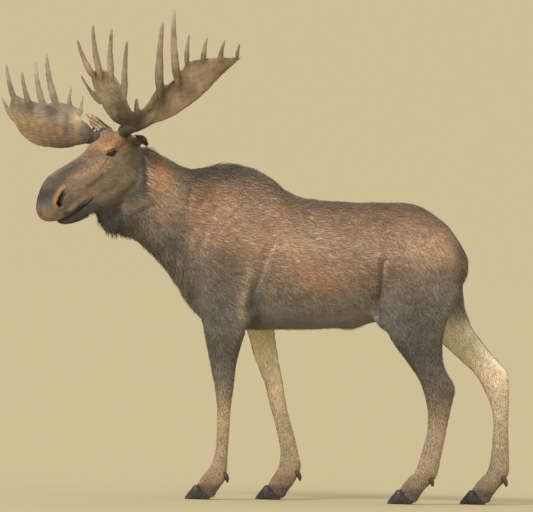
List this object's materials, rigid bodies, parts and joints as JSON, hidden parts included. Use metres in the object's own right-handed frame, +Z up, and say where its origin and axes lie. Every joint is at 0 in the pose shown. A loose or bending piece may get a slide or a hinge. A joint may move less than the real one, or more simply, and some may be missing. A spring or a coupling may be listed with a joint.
{
  "type": "moose",
  "caption": "Standing bull moose with its head turned to its left, broad palmate antlers, throat bell, humped shoulders, cloven hooves and dewclaws; a still life-size model.",
  "frame": {"origin": "bottom centre of the bounding box, on the floor that the hooves stand on", "axes": "+Z up; the body lies along X with the animal facing -X; its left side is towards -Y"},
  "size_m": [3.0036, 1.3992, 2.8235],
  "materials": {
    "body_coat": "short brown fur, darker along the back",
    "dark_coat": "longer umber fur",
    "face_coat": "very short brown fur",
    "pale_leg_coat": "short pale tan fur",
    "antler": "grooved bone, worn paler on the points",
    "hoof": "dull black horn",
    "eye": "wet dark brown"
  },
  "bodies": {
    "root": {"antler_left_beam": "antler", "antler_left_brow_palm": "antler", "antler_left_main_palm": "antler", "antler_right_beam": "antler", "antler_right_brow_palm": "antler", "antler_right_main_palm": "antler", "bell": "dark_coat", "claw_fore_left_inner": "hoof", "claw_fore_left_outer": "hoof", "claw_fore_right_inner": "hoof", "claw_fore_right_outer": "hoof", "claw_hind_left_inner": "hoof", "claw_hind_left_outer": "hoof", "claw_hind_right_inner": "hoof", "claw_hind_right_outer": "hoof", "dewclaw_fore_left_inner": "hoof", "dewclaw_fore_left_outer": "hoof", "dewclaw_fore_right_inner": "hoof", "dewclaw_fore_right_outer": "hoof", "dewclaw_hind_left_inner": "hoof", "dewclaw_hind_left_outer": "hoof", "dewclaw_hind_right_inner": "hoof", "dewclaw_hind_right_outer": "hoof", "ear_left": "face_coat", "ear_right": "face_coat", "eye_left": "eye", "eye_right": "eye", "foreleg_left_lower": "pale_leg_coat", "foreleg_left_upper": "body_coat", "foreleg_right_lower": "pale_leg_coat", "foreleg_right_upper": "pale_leg_coat", "head": "face_coat", "hindleg_left_lower": "pale_leg_coat", "hindleg_left_upper": "body_coat", "hindleg_right_lower": "pale_leg_coat", "hindleg_right_upper": "pale_leg_coat", "lower_jaw": "face_coat", "neck": "body_coat", "tail": "dark_coat", "trunk": "body_coat"}
  },
  "joints": []
}
